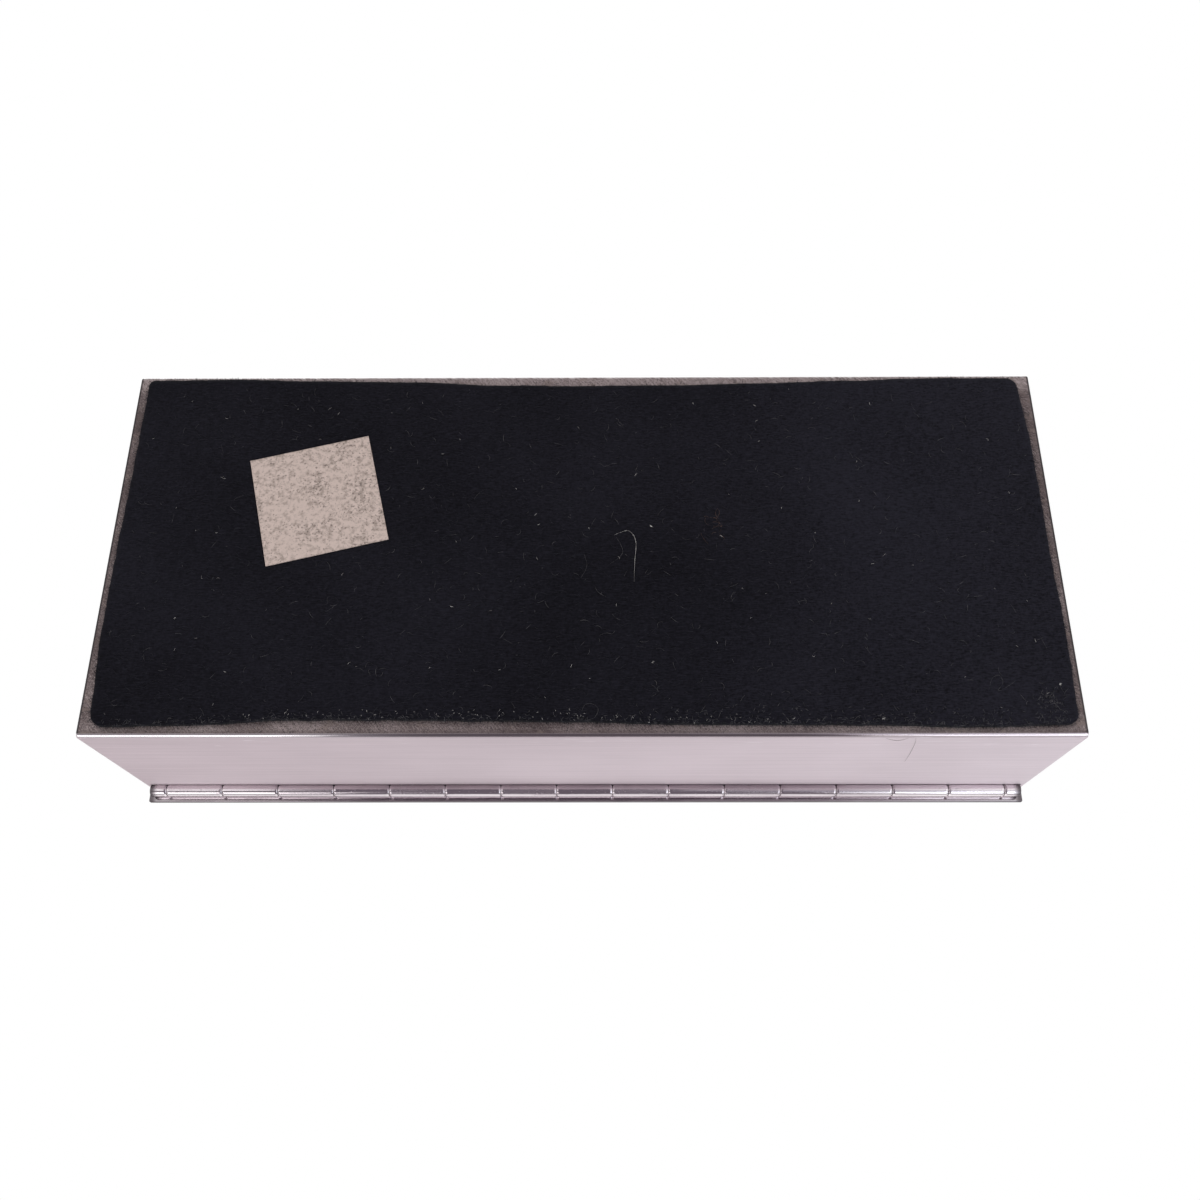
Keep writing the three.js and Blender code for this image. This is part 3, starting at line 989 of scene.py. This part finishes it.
def strands(name, lines, radius, material):
    """Thin tubes along lines of places, thickest in the middle of each."""
    curve = bpy.data.curves.new(name, "CURVE")
    curve.dimensions = "3D"
    curve.bevel_depth = radius
    curve.bevel_resolution = 0
    curve.use_fill_caps = True
    for line in lines:
        spline = curve.splines.new("POLY")
        spline.points.add(len(line) - 1)
        for k, (point, place) in enumerate(zip(spline.points, line)):
            point.co = (*place, 1)
            point.radius = STRAND_TIP + (1 - STRAND_TIP) * math.sin(math.pi * k / (len(line) - 1))
    tubes = bpy.data.meshes.new_from_object(bpy.data.objects.new(name + " curve", curve))
    bm = bmesh.new()
    bm.from_mesh(tubes)
    bmesh.ops.remove_doubles(bm, verts=bm.verts, dist=0.001 * MM)
    bmesh.ops.recalc_face_normals(bm, faces=bm.faces)
    return new_piece(name, bm, material, "box", "felt")


def strand_material(name, dark, light):
    finish = Finish(name)
    tone = finish.grain([1.3 * MM] * 3, detail=2).rise(0.3, 0.7)
    return finish.surface(Base_Color=finish.mix(tone, dark, light), Roughness=0.8, Specular_IOR_Level=0.2)


def wisp(start, direction, length, bend, steps, height):
    """A line of places that starts in a direction and bends evenly; height gives each place its Z."""
    place, heading = Vector(start), direction
    line = []
    for k in range(steps + 1):
        line.append((place.x, place.y, height(k / steps)))
        place = place + Vector((math.cos(heading), math.sin(heading), 0)) * length / steps
        heading += bend / steps
    return line


# %% Nap and edge fuzz
NAP_COUNT = 5200
FUZZ_COUNT = 4200
NAP_RADIUS = 0.025 * MM
FUZZ_RADIUS = 0.035 * MM
FUZZ_ROOT = (0.9985, 0.9965)
NAP_CURL = 0.08 * MM
chance = random.Random(7)


def nap_line():
    x, y = cut_place(chance.uniform(-0.99, 0.99), chance.uniform(-0.99, 0.99))
    low = chance.uniform(0.0, 0.05) * MM
    turn = chance.gauss(0, 0.35) + math.pi * chance.choice((0, 1))
    return wisp((x, y, 0), turn, chance.uniform(0.7, 2.4) * MM, chance.gauss(0, 0.8), 2,
                lambda share: NAP_RADIUS + low + NAP_CURL * abs(2 * share - 1))


def fuzz_line():
    """A strand that starts just inside the cut edge and stands out past it."""
    t = chance.uniform(-1, 1)
    u, v = chance.choice(((t, 1), (t, -1), (t, 1), (t, -1), (1, t), (-1, t)))
    outward = math.atan2(v if abs(v) == 1 else 0, u if abs(u) == 1 else 0)
    x, y = cut_place(u * FUZZ_ROOT[0], v * FUZZ_ROOT[1])
    level = chance.uniform(0.1, 0.9) * MM
    return wisp((x, y, 0), outward + chance.gauss(0, 0.9), chance.uniform(0.3, 1.1) * MM,
                chance.gauss(0, 1.4), 3, lambda share: level + 0.1 * MM * share)


nap_lines = [nap_line() for _ in range(NAP_COUNT)]
nap_lines = [line for line in nap_lines if off_label(Vector(line[1])) > 0.1 * MM or chance.random() < 0.03]
wool = strand_material("wool strands", (0.006, 0.0056, 0.009), (0.03, 0.029, 0.04))
nap = strands("felt_nap", nap_lines, NAP_RADIUS, wool)
fuzz = strands("felt_fuzz", [fuzz_line() for _ in range(FUZZ_COUNT)], FUZZ_RADIUS, wool)
print(nap.name, "has", len(nap.data.polygons), "faces,", fuzz.name, len(fuzz.data.polygons))

# %% Lint
DIM_COUNT = 620
PALE_COUNT = 90
EDGE_LINT_COUNT = 560
PALE_EDGE_COUNT = 75
RIGHT_EDGE_COUNT = 260
LINT_RADIUS = 0.028 * MM
LINT_LEVEL = 1.2 * LINT_RADIUS
# Places in mm, read off the photograph
WORN_CORNER = (92.7, 35.5)
PALE_DOTS = ((14.4, 27.0), (59.6, 39.0), (95.3, 31.9), (14.5, -3.5))
TANGLE = (28.3, -4.0)


def lint_line(u, v, longest):
    x, y = cut_place(u, v)
    return wisp((x, y, 0), chance.uniform(0, 2 * math.pi), chance.uniform(0.25, longest) * MM,
                chance.gauss(0, 1.3), 4, lambda share: LINT_LEVEL)


def anywhere():
    return chance.uniform(-0.98, 0.98)


def tuft(x, y, reach, count, longest):
    """Curly strands round a place in mm."""
    lines = []
    for _ in range(count):
        start = ((x + chance.gauss(0, reach)) * MM, (y + chance.gauss(0, reach)) * MM, 0)
        lines.append(wisp(start, chance.uniform(0, 2 * math.pi), chance.uniform(0.3, longest) * MM,
                          chance.gauss(0, 2.5), 6, lambda share: LINT_LEVEL))
    return lines


dim_lines = [lint_line(anywhere(), anywhere(), 2.2) for _ in range(DIM_COUNT)]
dim_lines += [lint_line(anywhere(), 1 - 0.03 * chance.random() ** 2, 1.2) for _ in range(EDGE_LINT_COUNT)]
for _ in range(RIGHT_EDGE_COUNT):
    dim_lines.append(lint_line(chance.uniform(0.1, 0.98), 1 - 0.09 * chance.random() ** 2, 1.0))
dim_lines += tuft(*WORN_CORNER, 1.6, 70, 1.6)
pale_lines = [lint_line(anywhere(), anywhere(), 0.9) for _ in range(PALE_COUNT)]
for _ in range(PALE_EDGE_COUNT):
    pale_lines.append(lint_line(chance.uniform(-0.72, 0.42), 1 - 0.05 * chance.random(), 0.45))
for dot in PALE_DOTS:
    pale_lines += tuft(*dot, 0.06, 6, 0.4)
tangle_lines = tuft(*TANGLE, 1.1, 16, 3.6)
dim_lines = [line for line in dim_lines if off_label(Vector(line[0])) > 2.5 * MM]
pale_lines = [line for line in pale_lines if off_label(Vector(line[0])) > 1 * MM]
grey_lint = strand_material("grey lint", (0.025, 0.025, 0.03), (0.12, 0.113, 0.12))
brown_lint = strand_material("brown lint", (0.035, 0.02, 0.018), (0.12, 0.07, 0.055))
pale_lint = strand_material("pale lint", (0.2, 0.18, 0.18), (0.75, 0.72, 0.70))
print(len(dim_lines), "dim strands,", len(pale_lines), "pale ones")

# %% Hairs
# Places in mm, read off the photograph: X and Y on the felt, or X and Z on the back wall
HOOK = ((6.7, -1.4), (9.4, -2.4), (10.7, -1.4), (11.3, 0.7), (11.0, 4.6), (10.8, 9.4))
DIM_HAIRS = (
    ((7.1, -0.9), (8.1, 0.9), (8.5, 2.6), (7.7, 3.9), (5.6, 5.5)),
    ((0.4, 3.0), (1.0, 5.8), (-0.2, 8.5)),
    ((2.7, 10.6), (3.5, 11.9), (5.0, 12.8)),
    ((3.5, 21.4), (5.0, 20.8), (6.2, 21.0), (6.8, 20.3)),
    ((0.2, 37.3), (0.8, 36.1), (2.2, 35.9), (3.4, 36.9), (2.8, 38.6), (1.4, 39.2)),
    ((81.2, 32.8), (81.9, 30.7), (83.4, 30.0), (84.0, 31.5), (82.8, 33.2), (84.0, 32.8), (86.4, 31.3)),
    ((92.8, 21.5), (93.8, 24.3)),
)
WALL_HAIRS = (
    ((66.2, 2.6), (66.9, 6.4), (67.7, 13.9), (68.1, 20.2)),
    ((60.3, 2.6), (61.4, 3.6), (62.8, 4.3), (64.0, 3.6), (64.6, 2.6)),
)
HAIR_STEPS = 5
HAIR_LEVEL = 0.04 * MM


def smooth_line(points):
    """A rounded line through places in mm."""
    ends = [points[0], *points, points[-1]]
    line = []
    for a, b, c, d in zip(ends, ends[1:], ends[2:], ends[3:]):
        for k in range(HAIR_STEPS):
            t = k / HAIR_STEPS
            line.append([0.5 * (2 * q + (r - p) * t + (2 * p - 5 * q + 4 * r - s) * t * t
                                + (3 * q - p - 3 * r + s) * t ** 3) * MM for p, q, r, s in zip(a, b, c, d)])
    line.append([side * MM for side in points[-1]])
    return line


def felt_hair(points):
    return [(x, y, HAIR_LEVEL) for x, y in smooth_line(points)]


def wall_hair(points):
    return [(x, wall + LINT_RADIUS, z) for x, z in smooth_line(points)]


grey = strands("felt_lint", dim_lines + [felt_hair(hair) for hair in DIM_HAIRS], LINT_RADIUS, grey_lint)
pale = strands("felt_hairs", pale_lines + [felt_hair(HOOK)], LINT_RADIUS, pale_lint)
tangle = strands("felt_tangle", tangle_lines, LINT_RADIUS, brown_lint)
strands("wall_hairs", [wall_hair(hair) for hair in WALL_HAIRS], LINT_RADIUS, brown_lint)
print(len(DIM_HAIRS) + 1, "hairs on the felt,", len(WALL_HAIRS), "on the back wall")

# %% [markdown]
# ## The paper label
# A square of thin blank paper is stuck on the felt, a little askew. Age has yellowed it, and the black wool
# shows through as specks where the paper is thin.

# %% Label
LABEL_CELLS = 52
LABEL_PAPER = 0.18 * MM
LABEL_LEVEL = 0.03 * MM
LABEL_WAVE = 0.02 * MM
LABEL_CURL = 0.04 * MM
LABEL_BORDER = 2 * MM
PAPER_DARK = (0.56, 0.445, 0.4)
PAPER_LIGHT = (0.67, 0.54, 0.495)
PAPER_STAIN = (0.29, 0.23, 0.2)
PAPER_SPOT = (0.11, 0.085, 0.075)


def paper_material():
    finish = Finish("aged paper")
    x, y, _ = finish.axes()
    thin = ((x - label_middle.x) - (y - label_middle.y)) * (0.02 / LABEL_SIDE)
    blotch = finish.grain([5 * MM] * 3, detail=2)
    mould = finish.grain([1.2 * MM] * 3, detail=3, roughness=0.65)
    speck = finish.grain([0.5 * MM] * 3, detail=2)
    dirt = (mould + 0.25 * blotch + thin).rise(0.54, 0.82)
    spots = (speck + 0.25 * blotch + thin).rise(0.69, 0.83)
    fibre = finish.grain([0.12 * MM] * 3, detail=1)
    paper = finish.mix(0.4 * fibre + 0.6 * blotch, PAPER_DARK, PAPER_LIGHT)
    stained = finish.mix(0.75 * dirt, paper, PAPER_STAIN)
    return finish.surface(
        Base_Color=finish.mix(0.7 * spots, stained, PAPER_SPOT),
        Roughness=0.85,
        Specular_IOR_Level=0.25,
        Normal=finish.bump(fibre - 0.5 * dirt, 0.03 * MM, 0.5),
    )


def paper_label():
    bm = bmesh.new()
    bmesh.ops.create_grid(bm, x_segments=LABEL_CELLS, y_segments=LABEL_CELLS, size=LABEL_SIDE / 2)
    bmesh.ops.rotate(bm, cent=(0, 0, 0), matrix=label_turn, verts=bm.verts)
    bmesh.ops.translate(bm, vec=(label_middle.x, label_middle.y, 0), verts=bm.verts)
    for vert in bm.verts:
        inside = min(1, -off_label(vert.co) / LABEL_BORDER)
        wave = LABEL_WAVE * noise.noise(vert.co / (5 * MM))
        vert.co.z = LABEL_LEVEL + wave + LABEL_CURL * (1 - inside)
    bmesh.ops.reverse_faces(bm, faces=bm.faces)
    piece = new_piece("paper_label", bm, paper_material(), "box", "label", "base_label")
    thicken(piece, LABEL_PAPER)
    return piece


label = paper_label()
print(label.name, "stuck on")

# %% [markdown]
# ## Cedar lining
# Thin boards keep the cigarettes off the steel. Their shape in the design is right, so they stay and get a
# wood finish: growth rings seen along the board, and fine pores between them.

# %% Cedar
CEDAR_LIGHT = (0.53, 0.27, 0.125)
CEDAR_DARK = (0.22, 0.083, 0.031)


def cedar(name, along_axis):
    finish = Finish(name)
    long_grain, fine_grain = [3 * MM] * 3, [0.25 * MM] * 3
    long_grain[along_axis], fine_grain[along_axis] = 90 * MM, 12 * MM
    rings = finish.grain(long_grain, detail=3, distortion=0.6)
    bands = (rings * 7).math("FRACT", rings * 7)
    pores = finish.grain(fine_grain, detail=2)
    tone = 0.55 * bands + 0.45 * pores
    return finish.surface(
        Base_Color=finish.mix(tone, CEDAR_LIGHT, CEDAR_DARK),
        Roughness=0.55 + 0.2 * pores,
        Normal=finish.bump(pores + 0.4 * bands, 0.05 * MM, 0.4),
    )


boards = {"lining_floor": 0, "lining_front": 0, "lining_back": 0,
          "lining_left": 1, "lining_right": 1, "lining_divider": 1}
woods = [cedar("cedar along", 0), cedar("cedar across", 1)]
for name, along_axis in boards.items():
    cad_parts[name].material_slots[0].material = woods[along_axis]
print(len(boards), "boards in cedar")
